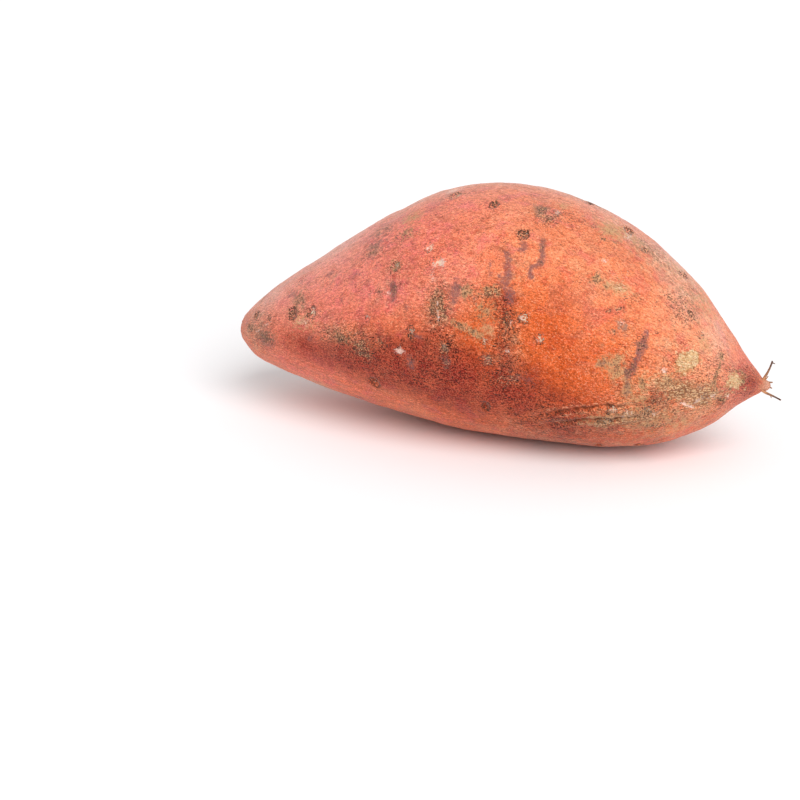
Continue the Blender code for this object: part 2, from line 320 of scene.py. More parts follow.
# (distance along, turn, half width round the girth, half length, depth, dark, pale)
EYES = (
    (0.8, 0, 3.6, 3.6, 0.9, 0.7, 0.3),
    (26.6, 22.5, 2.4, 2, 1, 1, 0.3),
    (34.3, 19.5, 2.3, 2, 0.7, 0.8, 0.8),
    (10.1, 33, 1.3, 1.2, 0.5, 0.9, 0),
    (17, 23.6, 0.9, 0.8, 0.3, 0.8, 0),
    (64.2, 36.7, 2, 2, 0.7, 0.6, 0.6),
    (74.5, 44.2, 2, 1.7, 0.5, 0.5, 1),
    (78.4, 36.4, 1.9, 2.6, 0.6, 0.6, 1),
    (72.5, 4.7, 2.4, 1.4, 0.7, 0.9, 0.7),
    (76, 79, 2.6, 2, 0.9, 0.7, 0.9),
    (90.9, 70, 2, 1.8, 1, 1, 0.2),
    (103.2, 55, 2, 2, 0.9, 1, 0.2),
    (108.2, 17.4, 1.9, 1.6, 0.5, 0.8, 1),
    (113.6, 9.8, 1.5, 1.6, 0.5, 0.8, 1),
    (115.7, 101, 3, 1.4, 1, 1, 0.1),
    (130.2, 92.5, 3, 1.8, 1.5, 1, 0.7),
    (142.3, 24, 2.4, 1.5, 0.5, 0.5, 0.1),
    (147.9, 94.5, 2.4, 1.8, 1, 0.9, 0.2),
    (157.1, 49.5, 1.3, 1.3, 0.6, 0.7, 0.8),
    (153.4, 61.5, 1.2, 1.2, 0.5, 0.8, 0.2),
    (136.8, 84, 1.6, 1.2, 0.5, 0.8, 0.3),
    (135.3, -19.8, 1.8, 1.7, 0.7, 0.7, 0.95),
    (139, -20.9, 1.7, 1.4, 0.6, 0.7, 0.9),
    (132.5, -27.5, 2, 2.4, 0.7, 0.7, 0.9),
    (144.8, -17.9, 1.5, 1.5, 0.7, 0.6, 0.5),
    (164.3, -19.5, 1.6, 1.5, 0.8, 0.5, 0.2),
    (96.4, 3.7, 1.2, 1.2, 0.5, 0.5, 0.9),
    (56.5, 11.5, 1.2, 1.2, 0.4, 0.5, 0.8),
    (128.6, -55.8, 2.2, 1.2, 0.7, 0.9, 0.1),
    (96, -30, 2.4, 1.7, 0.9, 0.9, 0.3),
    (58, -28, 2.6, 1.8, 1, 0.9, 0.4),
    (40, 112, 2.6, 1.8, 1, 0.9, 0.3),
    (58, 150, 2.8, 1.8, 1, 1, 0.4),
    (76, 188, 2.6, 1.8, 1, 0.8, 0.7),
    (88, 138, 2.6, 1.9, 1.1, 1, 0.3),
    (101, 172, 2.6, 1.8, 0.9, 0.8, 0.6),
    (118, 190, 2.8, 1.8, 1.1, 1, 0.3),
    (134, 150, 2.6, 1.8, 1.1, 0.9, 0.5),
    (150, 185, 2.2, 1.6, 1, 0.9, 0.3),
    (48, 208, 2.6, 1.8, 1, 0.9, 0.3),
    (66, 250, 2.6, 1.8, 0.9, 0.8, 0.4),
    (124, 246, 2.6, 1.8, 1, 0.9, 0.3),
    (140, 300, 2.4, 1.8, 0.9, 0.9, 0.3),
)
EYE_LIP = 1.6
EYE_FALL = 1.2


def skin_line(places):
    """The points on the plain skin that a stroke or a fold runs through."""
    return [plain_skin(along, ALONG, math.radians(turn)) for along, turn in places]


def from_line(spots, line):
    """How far spots are from a line, and how far the nearest point is from its ends."""
    nearest = np.full(len(spots), np.inf)
    travel = np.zeros(len(spots))
    passed = 0.0
    for start, end in zip(line, line[1:]):
        stretch = end - start
        length = float(np.linalg.norm(stretch))
        share = np.clip((spots - start) @ stretch / length**2, 0.0, 1.0)
        apart = np.linalg.norm(spots - start - share[:, None] * stretch, axis=1)
        closer = apart < nearest
        nearest = np.where(closer, apart, nearest)
        travel = np.where(closer, passed + share * length, travel)
        passed += length
    return nearest, np.minimum(travel, passed - travel)


def from_fold(spots, line):
    """How far spots are from a fold, and how much of its depth it has reached there."""
    nearest, from_end = from_line(spots, line)
    return nearest, np.clip(from_end / FOLD_FADE, 0.0, 1.0)


def from_eye(spots, eye):
    """How far spots are from an eye, in the eye's own half width and half length."""
    along, around = distances(spots, *eye[:2])
    return np.hypot(along / eye[3], around / eye[2])


FOLD_LINES = [skin_line(fold) for fold in FOLDS]
print(len(EYES), "eyes,", len(FOLDS), "folds,", len(SWELLS), "swells")


# %% [markdown]
# ## Marks on the skin
#
# The marks are lists of spots, each with a reach along, a reach round the girth and a
# strength, and lists of strokes. Painting an image would be the other way, but an image
# has one resolution, and here noise breaks up each mark as finely as it has to be. The
# sides that no photograph shows get marks of the same kinds, drawn at random from one
# seed. They are listed before the mesh is made, so that its faces can be finer there.

# %% Marks
# A spot: distance along, turn, reach along, reach round, strength.
BRUISES = (
    (105.6, 72.6, 2.1, 3.6, 0.8), (104.2, 49.1, 1.3, 2.8, 0.95), (136.6, 28.5, 2.4, 2.7, 0.6),
    (142.4, 22.5, 2, 1.7, 1), (139.8, 5.7, 1.5, 1.5, 0.8), (59.9, 24.3, 1.9, 1.1, 0.6),
    (70.6, 16.1, 1.3, 1.3, 0.75), (75, 2.4, 2.1, 1.1, 0.55), (86.3, 24, 2, 3.8, 1),
    (92.9, 21.6, 1.5, 1.5, 0.5), (84, -2.4, 1.8, 2.4, 0.5), (84.5, -8.5, 1.7, 2.1, 0.7),
    (72.2, -10.8, 1.8, 3.1, 0.75), (98, -4.2, 1.9, 2, 0.65), (15.8, -2.2, 5.1, 2.6, 0.8),
    (28.8, 32.1, 3.1, 2.7, 0.55), (24.7, 43.7, 3.9, 2.2, 0.65), (37.7, 48.8, 3.2, 1.4, 0.6),
    (53.7, 51.3, 5.7, 4.6, 0.6), (53.7, 66.2, 5.5, 3.6, 0.45), (50, 38.1, 2.6, 1.1, 0.45),
    (34.9, -1.3, 2.1, 2, 0.5), (158.2, 34.6, 2, 1.1, 0.55), (132.8, 8, 1.6, 1.1, 0.6),
    (108.7, -11.5, 7.7, 2.1, 0.45), (162.7, 17.7, 1.1, 0.9, 0.5), (158.7, 1.6, 2.5, 1.2, 0.55),
    (55, 30, 2.2, 2.4, 0.55), (46, 24.5, 1.6, 1.6, 0.45),
)
EARTH = (
    (90.8, 70.7, 1, 2.7, 1), (105.5, 73.1, 1.9, 3.2, 0.85), (108.6, 68, 2.3, 2.6, 0.85),
    (110.4, 74.5, 1.6, 2.8, 0.8), (102.9, 55.8, 2.2, 1.4, 1), (98.7, 49, 0.9, 1.1, 0.7),
    (109.8, 52, 0.7, 2.2, 0.8), (110.8, 44.2, 1.1, 1, 0.7), (97.4, 26.1, 2.8, 1.5, 0.95),
    (121.6, 77, 1.1, 2, 0.8), (125.3, 70.9, 1.3, 1.4, 0.8), (113.5, 63.4, 0.9, 0.7, 0.7),
    (115.5, 76, 4.2, 4.8, 0.3), (127.1, 46.4, 1.5, 2, 0.85), (130, 44.9, 1.1, 1, 0.8),
    (142.4, 22.5, 1.8, 1.5, 0.8), (141, 11, 1.3, 1.3, 0.65), (139.9, 5.4, 1.5, 1.3, 0.85),
    (136.4, 8, 2.2, 3, 0.55), (132.8, 8.3, 1.8, 1.5, 0.55), (143.8, 1.1, 0.9, 1.5, 0.75),
    (139.7, -3.8, 1.1, 2.4, 0.65), (150.2, 4, 3.5, 1.9, 0.6), (154.5, -3.4, 4.8, 2.4, 0.55),
    (160.3, -9.2, 4.1, 2.9, 0.65), (147.4, -10.7, 4.2, 2.6, 0.6), (135.1, -20.2, 2, 1.4, 0.85),
    (131.8, -29.6, 2.6, 1.2, 1), (139.2, -23.3, 2.6, 1.5, 0.8), (144.9, -17.9, 1.3, 1.6, 0.9),
    (142.3, -24.1, 7.4, 3.1, 0.65), (148.2, -32.5, 6.8, 2.5, 0.45), (119, -32.4, 6.4, 3.1, 0.5),
    (164.7, -23.2, 0.9, 1.4, 0.9), (166.6, -6, 1.2, 0.6, 0.9), (144.2, 50.1, 0.6, 1, 0.95),
    (150.5, 51.3, 1.1, 1, 0.8), (154.1, 61.5, 1.8, 1.6, 0.95), (149.5, 66.7, 1.2, 0.7, 0.8),
    (147, 60.8, 1.2, 0.7, 0.75), (148.4, 55.4, 0.9, 0.6, 0.8), (146, 42, 0.6, 0.6, 0.8),
    (146.4, 33.5, 0.8, 0.7, 0.75), (149.6, 58.7, 6.1, 4.5, 0.42), (152.4, 73.4, 4.6, 10.7, 0.4),
    (64.2, 37.2, 2.2, 1.6, 0.95), (65.2, 23.9, 1.1, 1.9, 0.75), (72.6, 3.5, 1, 1.7, 0.95),
    (81.4, 17.9, 3.5, 5.9, 0.6), (90, 24.5, 2.3, 2, 0.75), (96.4, 16.7, 3, 3.3, 0.45),
    (107.8, 17.3, 1.3, 1.5, 0.7), (96.7, 3.3, 0.8, 1.5, 0.85), (98, -4.2, 2.1, 2, 0.85),
    (84, -2.1, 1.8, 2.4, 1), (84.5, -9, 1.5, 2.1, 0.6), (103.7, -12.9, 6.4, 3.4, 0.5),
    (10.3, 33, 2, 1.5, 0.95), (8.1, 13.2, 2.5, 1.6, 1), (16.8, 23.2, 0.8, 0.6, 0.95),
    (15.8, -1.5, 4.8, 2.6, 0.75), (25.7, 23.7, 1.3, 1.2, 0.95), (33.7, 19.8, 2.6, 1.8, 0.85),
    (36.4, 18.2, 2, 0.6, 0.7), (28.7, 33.7, 2.9, 3.2, 0.6), (26.3, 56.2, 1.4, 2.2, 0.7),
    (41, 4.8, 1.6, 0.8, 0.85), (46.3, 0.5, 4.1, 1.8, 0.95), (39.8, -1, 1, 0.8, 0.85),
    (54, -4.3, 3.2, 2.8, 1), (55.5, -9.9, 2.9, 2.2, 0.85), (62.1, -1.9, 3.2, 2, 0.6),
    (59.8, 24.4, 1.7, 0.9, 0.6), (56.2, 12.1, 1.2, 1.1, 0.6), (53.8, 51, 4.8, 3.9, 0.55),
    (53.7, 66.2, 5.1, 3.6, 0.45), (64.7, 54.9, 4.2, 2.8, 0.55), (75.6, 80.6, 3.2, 2.7, 0.7),
    (93.2, 77.1, 1.5, 1.8, 0.5), (115.2, 104.2, 6.8, 1, 0.95), (138.4, 88.2, 4.8, 5.5, 0.3),
    (134.4, 88.9, 3.7, 4.1, 0.3), (163.1, 48, 1.5, 2.8, 0.5), (170.6, 23.7, 1.3, 2.6, 0.55),
)
OLIVE = (
    (105.5, 73.1, 2.3, 3.7, 0.45), (110.5, 82.5, 2.5, 2.6, 0.6), (126.2, 80.4, 4.3, 4.6, 0.75),
    (133.2, 88.4, 9.1, 4.9, 0.5), (127.1, 46.4, 1.7, 2.2, 0.8), (133.6, 47, 4.2, 2.4, 0.85),
    (130.2, 45.7, 1.5, 1.2, 0.55), (97.4, 26.1, 3, 1.5, 0.8), (90, 24.1, 2.5, 2, 0.85),
    (96.4, 17.2, 3.7, 4, 0.5), (97.2, 9.1, 4.1, 2.2, 0.45), (136.6, 29, 2.2, 2.6, 0.6),
    (136.5, 11.6, 2.2, 2.4, 1), (136.5, 3.5, 2.6, 2.4, 1), (132.6, 8, 2.4, 1.8, 0.9),
    (143.8, 0.9, 1.4, 2.8, 0.95), (139.7, -4.2, 1.5, 4, 0.95), (150.2, 4, 4.5, 2.6, 1),
    (155, -3.4, 5.3, 2.6, 0.95), (160.3, -9.2, 4.6, 3.3, 1), (142.7, -10, 3.7, 3.1, 0.55),
    (138.6, -23.5, 9.3, 3.1, 0.8), (145.5, -29, 7.7, 3.4, 0.8), (130, -29.1, 5.5, 3.2, 0.6),
    (153.5, -36.2, 6.6, 2.6, 0.45), (158.8, 43.2, 2.8, 2.3, 0.6), (168.7, 37.5, 2.8, 0.9, 0.5),
    (46.3, 1.3, 5.6, 2.8, 0.25), (54.4, -4.6, 3.9, 3.3, 0.25), (31.5, 12.4, 6.3, 2.7, 0.55),
    (27.7, 34.6, 4.1, 4.7, 0.45), (63.8, 66.8, 4.4, 3.2, 0.75), (64.7, 54.9, 4.5, 2.8, 0.45),
    (75.6, 80.9, 3.2, 1.7, 0.5), (81.4, 17.9, 3.3, 5.5, 0.4), (64.2, 37.2, 2.4, 1.9, 0.5),
    (155.3, 91.1, 6.4, 12, 0.45), (146.6, 96.9, 5, 10.8, 0.35), (15.8, 0.6, 5.1, 2.9, 0.4),
)
SCURF = (
    (80, 36.7, 1.4, 1.6, 1), (77.6, 35.6, 1.3, 1.4, 0.6), (73.9, 44.5, 0.7, 1.4, 0.8),
    (68.4, -5.6, 1.8, 1.2, 0.95), (127.9, 58.1, 1.4, 1.4, 0.6), (109.9, 75.6, 0.8, 2.1, 0.55),
    (149.4, 11.7, 1.2, 0.9, 0.75), (147.1, -21.4, 1.3, 0.7, 0.6), (138.2, -24.6, 0.7, 0.9, 0.8),
    (134.8, -19.5, 0.6, 0.8, 0.8), (107.7, 17.7, 0.7, 0.9, 0.9), (103.8, 1.2, 0.6, 0.8, 0.7),
    (113.1, 9.1, 0.5, 0.5, 0.6), (157.5, 54.2, 0.5, 0.5, 0.8), (73.4, 89.2, 3, 4, 0.7),
    (131.2, 86.3, 1.9, 4, 0.6), (34.5, 21.9, 0.8, 1, 0.6), (56.2, 12.4, 0.8, 0.7, 0.6),
    (31.3, 13.3, 3.7, 1.5, 0.45), (136.3, 30.4, 1.5, 1.1, 0.55), (162.4, -11, 1.7, 1.2, 0.6),
    (158.7, -12.9, 1.7, 1.1, 0.55), (166.2, -15.8, 0.7, 1.1, 0.75), (84.2, -0.9, 0.6, 0.6, 0.6),
    (63.2, 23.1, 1.8, 1.1, 0.5), (134, 48, 3.4, 1.6, 0.3), (134, 56, 3.5, 3.5, 0.25),
)
CORK = (
    (154.5, 19.9, 2.9, 2.9, 1), (156.1, 26.8, 3, 2.4, 1), (168.1, 11.9, 3, 2.6, 1),
)
# Wine red skin. The broad spots low on the front and on the underside are painted shade in the same
# wine red, darker towards the bottom.
WINE_AND_SHADE = (
    (77.1, -4.1, 6.4, 4, 1), (65.9, -11.9, 6.9, 4, 0.95), (89.1, -7, 7.2, 4.1, 0.6),
    (50, -8.8, 10.1, 2.6, 0.8), (34.3, -6.8, 9.1, 2.2, 0.6), (81.5, 4.1, 4.5, 2.3, 0.7),
    (73.7, 10.2, 3.1, 2.2, 0.3), (108.7, -7.4, 5, 4.5, 0.5), (116.4, -16.8, 9.6, 3.3, 0.6),
    (147.4, -10, 4.6, 2.1, 0.7), (164.8, -22.5, 3.3, 2.3, 0.6), (173, 33.1, 2.3, 4, 0.45),
    (103.2, 24.6, 2.2, 2.2, 0.6), (128.3, -27.6, 11, 2.9, 0.5), (81.6, 19.7, 2.9, 5.5, 0.5),
    (141, 11, 1.9, 2.2, 0.4), (78, -22, 20, 9, 0.85), (104, -24, 16, 9, 0.85),
    (72, -8.5, 16, 7, 1), (88, -15, 14, 9, 0.85), (50, -14, 14, 7, 0.8),
    (30, -12, 14, 6, 0.5), (110, -16, 10, 6, 0.3), (69, 33, 8, 6, 0.3),
    (121, 13, 7, 6, 0.2), (130, -8, 9, 6, 0.15),
    (170, -20, 5, 6, 0.45), (171, 50, 4, 5, 0.4),
    (60, -20, 18, 7, 0.75), (122, -34, 16, 7, 0.7), (92, -8, 12, 8, 0.3),
    (72, 226, 24, 12, 0.6), (118, -50, 24, 12, 0.5), (86, -32, 16, 9, 0.45),
    (153, 9, 5, 6, 0.12), (134, -28, 10, 6, 0.15),
)
ROSE = (
    (26, 30, 26, 30, 0.9), (50, 60, 30, 20, 0.8), (80, 70, 26, 14, 0.4),
    (60, 30, 20, 12, 0.6), (85, 26, 10, 12, 0.6),
    (60, 200, 30, 30, 0.6), (160, 200, 14, 16, 0.5),
    (169, -10, 7, 12, 0.9), (170, 60, 5, 8, 0.9), (162, 34, 5, 8, 0.3),
)
ORANGE = (
    (122, 0, 20, 12, 0.95), (94, 6, 10, 8, 0.95), (112, 20, 12, 12, 0.8),
    (140, 50, 22, 16, 0.5), (118, -12, 20, 8, 0.8), (60, 8, 14, 6, 0.25),
    (108, 180, 20, 24, 0.8), (88, 285, 24, 18, 0.6), (117, 24, 9, 12, 0.95),
    (97, 12, 7, 10, 0.9), (136, 14, 8, 8, 0.8), (128, -14, 12, 5, 0.8),
    (28, -2, 12, 6, 0.6), (96, 4, 6, 6, 0.8), (132, -48, 22, 9, 0.8),
    (145, 2, 11, 11, 0.4),
)
LIGHT = (
    (128, 46, 20, 14, 0.85), (150, 44, 13, 15, 0.85), (96, 60, 16, 12, 0.3),
    (160, 50, 9, 16, 0.8), (112, 230, 20, 16, 0.5),
)
# A pale painted sheen along the top of the root, where the skin would mirror the white around it. The
# last spot is pale dust on the tip's nub.
DUST_AND_SHEEN = (
    (14, 66, 12, 9, 0.7), (36, 84, 18, 13, 0.75), (66, 100, 18, 14, 0.7),
    (96, 106, 20, 14, 0.65), (122, 106, 18, 14, 0.6), (146, 104, 14, 13, 0.7),
    (162, 74, 6, 9, 0.5), (151, 66, 7, 8, 0.3), (177.2, 20, 1.6, 4, 0.6),
)
GRIME = (
    (150, -6, 14, 9, 1), (135, -28, 18, 6, 1), (104, 2, 5, 16, 0.9),
    (84, -2, 5, 6, 0.9), (81, 17, 4, 8, 0.9), (46, 0, 8, 5, 0.9),
    (55, -6, 6, 6, 1), (12, 8, 8, 8, 0.8), (164, 0, 8, 14, 0.8),
    (154, 22, 6, 6, 0.6), (172, 20, 4, 6, 0.7), (92, 22, 6, 6, 0.4),
    (64, 36, 3, 3, 0.6), (30, 20, 8, 5, 0.5), (139, 12, 4, 14, 0.5),
    (70, -14, 20, 6, 0.6), (112, -30, 12, 8, 0.7), (108, 70, 8, 6, 0.4),
    (140, 92, 14, 8, 0.6),
)
DULL = (
    (126, 86, 10, 7, 0.7), (140, 88, 12, 10, 0.65), (151, 80, 10, 9, 0.5),
    (160, 62, 7, 9, 0.4), (166, 36, 5, 8, 0.4), (140, -22, 16, 9, 0.35),
    (120, -36, 14, 6, 0.5), (156, -30, 8, 7, 0.5), (10, 8, 9, 12, 0.5),
    (54, 50, 5, 5, 0.6), (54, 66, 5, 4, 0.5), (28, 33, 4, 6, 0.6),
    (106, 73, 5, 5, 0.6), (60, 26, 8, 5, 0.4), (38, 44, 6, 5, 0.4),
    (82, 15, 7, 11, 0.5), (96, 12, 5, 7, 0.2), (104, -4, 4, 11, 0.6),
    (134, 8, 4, 7, 0.35), (142, -2, 5, 8, 0.2), (126, 46, 4, 5, 0.5),
    (104, 36, 5, 8, 0.35), (46, 2, 10, 4, 0.5), (150, 30, 5, 8, 0.4),
    (128, -52, 22, 7, 0.5), (104, -48, 16, 6, 0.4), (152, -42, 10, 6, 0.5),
    (147, -2, 8, 7, 0.4), (158, -12, 7, 6, 0.7), (176.4, 20, 2.2, 5, 0.9),
)
NETTED = (
    (148, 4, 4, 3, 0.6), (154, -2.5, 5.5, 3.2, 0.9), (160, -8.5, 5, 3.6, 1),
    (165.5, -16, 2.6, 3, 0.6), (145, -24, 8, 2.6, 0.6), (134, -29, 6, 2.4, 0.6),
    (134, 48, 4.2, 2, 0.45),
)
# A stroke: half its width in millimetres, strength, and the places that it runs through.
BRUISE_STROKES = (
    (1.1, 1, ((109.3, 54.6), (110.3, 49.1), (110.8, 43.7))),
    (1.1, 0.9, ((110.7, 43.7), (108.7, 41.2), (108.2, 38.6), (108.5, 35.5))),
    (1.4, 0.85, ((100.4, 43.6), (101.9, 34.8))),
    (1.6, 0.7, ((101.6, 33.3), (102.1, 29.5), (103.8, 23.9))),
    (0.7, 0.7, ((95.9, 38.5), (96.3, 32.2))),
    (1.1, 0.6, ((99.3, 33), (100.2, 29.8))),
    (0.9, 1, ((143.2, 31.2), (142.9, 26.8), (142.4, 21.9))),
    (1.1, 0.95, ((142.3, 21.8), (141.8, 16.4), (141.1, 11), (139.9, 4.8))),
    (1.1, 0.6, ((139.7, -0.3), (139.6, -8.2))),
    (1.4, 1, ((64.7, 27.4), (65.6, 21.4))),
)
EARTH_STROKES = (
    (0.8, 0.8, ((163.8, 46.3), (163.3, 26.4), (162.6, 6.5), (163.4, -5.5))),
    (0.6, 0.8, ((166, 26.1), (167.9, 37.2), (169.9, 32.5))),
    (0.8, 0.95, ((79.7, 24), (79.1, 19.1), (79.7, 14.7))),
    (0.8, 0.9, ((81.9, 20.6), (83.1, 15), (84, 11.6))),
    (1.2, 0.8, ((95.6, 23.4), (97.2, 25.9), (99.3, 26.9))),
    (1.2, 0.8, ((87.4, 10.3), (91.8, 8), (94.8, 6.4))),
    (2.6, 0.4, ((100.7, 23), (103.2, 14.1))),
    (2.4, 0.4, ((103.2, 14.1), (103.6, 3), (103.5, -2))),
    (0.55, 1, ((11, 83.3), (9.4, 64))),
    (0.6, 0.9, ((27.6, 27.6), (28.7, 23.7), (28.2, 20.4))),
    (0.45, 0.8, ((136.1, 43.3), (138.1, 47.7), (140.3, 51.1))),
    (0.45, 0.8, ((137.4, 42.6), (139, 46), (140.9, 48.4))),
    (0.55, 1, ((131.8, 33), (134.1, 35.4), (135.4, 37.7), (136.2, 37))),
    (0.55, 0.95, ((132.6, 23.4), (134.6, 24.3))),
    (0.55, 1, ((144.6, -31.7), (147.3, -33.6), (149.5, -34.7))),
    (0.55, 0.95, ((128, 73), (129.2, 75))),
)
OLIVE_STROKES = (
    (1.5, 0.70, ((87.4, 10.3), (91.8, 8), (95.4, 6.1))),
    (1, 0.60, ((163.8, 46.3), (163.3, 26.4), (162.6, 6.5))),
)
SCURF_STROKES = (
    (0.8, 0.55, ((77.6, 32.1), (78.3, 28.5))),
    (0.3, 0.90, ((80.7, 19.2), (81.3, 14.8), (82, 10))),
    (0.7, 0.85, ((154.5, -13.8), (157.1, -19.5))),
    (0.4, 0.75, ((139.2, -22.8), (140.9, -19.3))),
    (0.3, 0.80, ((104.6, 14.9), (104.2, 12.2))),
    (0.4, 0.75, ((96.8, 5.1), (97, 2.4))),
    (0.3, 0.60, ((96.6, -2.2), (98.3, -4.6))),
    (0.3, 0.75, ((10.8, 6), (14.8, 13.8), (18.4, 19.2))),
)
WINE_AND_SHADE_STROKES = (
    (3, 0.7, ((101.2, 23.1), (103, 14), (103.5, 2.9), (103.5, -9))),
)
HIDDEN_SEED = 11
HIDDEN_ALONG = (8, 166)
HIDDEN_TURNS = (125, 310)
HIDDEN_STRENGTH = (0.5, 1.0)


def hidden_marks(draw, count, reach_along, reach_round):
    """Marks at random places on the back and the underside, within the given reaches."""
    ranges = (HIDDEN_ALONG, HIDDEN_TURNS, reach_along, reach_round, HIDDEN_STRENGTH)
    return tuple(tuple(draw.uniform(*ends) for ends in ranges) for _ in range(count))


def field(marks, places, strokes=()):
    """How strongly marks show at each place, where marks that meet run together."""
    clear = np.ones(len(places))
    for along, degrees, reach_along, reach_round, strength in marks:
        lengthwise, around = distances(places, along, degrees)
        clear *= 1.0 - strength * np.exp(
            -(lengthwise / reach_along)**2 - (around / reach_round)**2)
    for reach, strength, line in strokes:
        away = from_line(places, skin_line(line))[0]
        clear *= 1.0 - strength * np.exp(-(away / reach)**2)
    return 1.0 - clear


draw = np.random.default_rng(HIDDEN_SEED)
MARKS = {
    "bruise": (BRUISES + hidden_marks(draw, 24, (1.4, 3.0), (2.0, 5.0)), BRUISE_STROKES),
    "earth": (EARTH + hidden_marks(draw, 30, (1.6, 4.0), (1.8, 4.5)), EARTH_STROKES),
    "olive": (OLIVE + hidden_marks(draw, 18, (2.4, 5.0), (2.4, 4.0)), OLIVE_STROKES),
    "scurf": (SCURF + hidden_marks(draw, 12, (1.0, 2.0), (1.0, 2.0)), SCURF_STROKES),
    "cork": (CORK + hidden_marks(draw, 3, (1.8, 2.8), (1.8, 2.6)), ()),
    "netted": (NETTED, ()),
}
TONES = {
    "rose": (ROSE, ()),
    "orange": (ORANGE, ()),
    "wine_and_shade": (WINE_AND_SHADE, WINE_AND_SHADE_STROKES),
    "light": (LIGHT, ()),
    "dust_and_sheen": (DUST_AND_SHEEN, ()),
    "dull": (DULL + hidden_marks(draw, 14, (4.0, 10.0), (4.0, 9.0)), ()),
    "grime": (GRIME + hidden_marks(draw, 8, (6.0, 12.0), (5.0, 10.0)), ()),
}
print({name: len(marks) + len(strokes) for name, (marks, strokes) in {**MARKS, **TONES}.items()})


# %% [markdown]
# ## The skin's mesh
#
# A UV sphere has its faces in rings round an axis, as the root has, so every direction
# from the sphere's middle is given a place on the spindle. The sphere's own faces are
# halved near the eyes, the folds and the marks first, because a pit 3 mm across or the
# edge of a stain needs finer faces than a smooth flank does. Subdividing the whole skin
# instead would make four times as many.

# %% Skin mesh
SKIN_RINGS = 250
SKIN_SIDES = 180
# Faces are halved out to this many times an eye's or a fold's half width.
DETAIL_MARGIN = 1.6
# They are also halved wherever a mark is at least this strong.
MARK_MARGIN = 0.16


def on_spindle(directions):
    """Each direction's share of the way along the skin, its turn, and its plain place."""
    share = np.arctan2(np.hypot(directions[:, 0], directions[:, 1]), -directions[:, 2]) / math.pi
    turn = np.arctan2(directions[:, 1], directions[:, 0])
    return share, turn, plain_skin(share, SHARE, turn)


shell = bmesh.new()
bmesh.ops.create_uvsphere(shell, u_segments=SKIN_SIDES, v_segments=SKIN_RINGS, radius=1.0)
bmesh.ops.reverse_faces(shell, faces=shell.faces)
spots = on_spindle(np.array([vert.co for vert in shell.verts]))[2]
detailed = np.zeros(len(spots), bool)
for eye in EYES:
    detailed |= from_eye(spots, eye) < DETAIL_MARGIN
for line in FOLD_LINES:
    away, fade = from_fold(spots, line)
    detailed |= (fade > 0.0) & (away < FOLD_WIDTH * DETAIL_MARGIN)
for marks, strokes in MARKS.values():
    detailed |= field(marks, spots, strokes) > MARK_MARGIN
shell.verts.ensure_lookup_table()
shell.verts.index_update()
fine_edges = [edge for edge in shell.edges if all(detailed[vert.index] for vert in edge.verts)]
bmesh.ops.subdivide_edges(shell, edges=fine_edges, cuts=1, use_grid_fill=True)
skin_mesh = bpy.data.meshes.new("raw_skin")
shell.to_mesh(skin_mesh)
shell.free()

directions = np.array([vert.co for vert in skin_mesh.vertices])
share, turn, spots = on_spindle(directions)
skin_mesh.vertices.foreach_set("co", (spots * MM).ravel())
skin_mesh.update()
normals = np.zeros(len(spots) * 3)
skin_mesh.vertex_normals.foreach_get("vector", normals)
normals = normals.reshape(-1, 3)
triangles = sum(len(face.vertices) - 2 for face in skin_mesh.polygons)
print("skin", len(spots), "points,", triangles, "triangles")


# %% [markdown]
# ## The grain of the skin
#
# The fibres run lengthwise and draw together at the ends. So beside its place in space
# each point gets a place on an unrolled skin: how far along the skin it is, and its turn
# on a cylinder of fixed radius. A pattern drawn on those coordinates narrows towards the
# tip by itself, has no seam, and follows the root wherever it sways.

# %% Unrolled coordinates
GRAIN_RADIUS = 38.0
unrolled = np.stack((share * SKIN_LENGTH, -GRAIN_RADIUS * np.cos(turn),
                     GRAIN_RADIUS * np.sin(turn)), axis=1)


def roughness(places, size, seed, octaves=3):
    """Random heights from about -1 to 1, with bumps of a size, one number or three."""
    shift = np.array((13.7, 5.3, 9.1)) * seed
    return np.array([noise.fractal(place, 1.0, 2.0, octaves) for place in places / size + shift])


WANDER_APART = 2.6
wander = np.stack([roughness(spots, WANDER_APART, seed, 2) for seed in (1, 2, 3)], axis=1)
print("wander", wander.std(axis=0).round(2))


# %% [markdown]
# ## Raising the relief
#
# Each form adds its height along the plain skin's own direction. Eyes and folds are read
# at places that wander by half a millimetre, so that no pit is a neat ellipse. Over them
# come low waves, lengthwise wrinkles and pimples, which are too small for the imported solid.
# At the belly the skin is pressed flat on what it rests on.

# %% Relief
WANDER_MM = 0.55
FOLD_LIP_WIDTH = 0.8
# Where an eye's dark rim, its dark pit and its pale lip are, in half widths of the eye.
RIM_AWAY = 0.85
RIM_WIDTH = 0.22
PIT_REACH = 0.8
LIP_REACH = 0.6
PIT_DARKNESS = 0.55
# How far the pale lip is moved off the eye's middle, in millimetres.
LIP_SHIFT = np.array((0.5, 0.0, 0.3))
# Waves, wrinkles and pimples: on which coordinates, their height and how far apart they
# are in millimetres, a seed and how many octaves.
LOW_RELIEF = (
    (spots, 0.30, 14.0, 4, 3),
    (unrolled, 0.13, np.array((9.0, 2.6, 2.6)), 5, 3),
    (spots, 0.06, 1.8, 6, 2),
)

height = np.zeros(len(spots))
for along, degrees, reach_along, reach_round, rise in SWELLS:
    lengthwise, around = distances(spots, along, degrees)
    height += rise * np.exp(-(lengthwise / reach_along)**2 - (around / reach_round)**2)

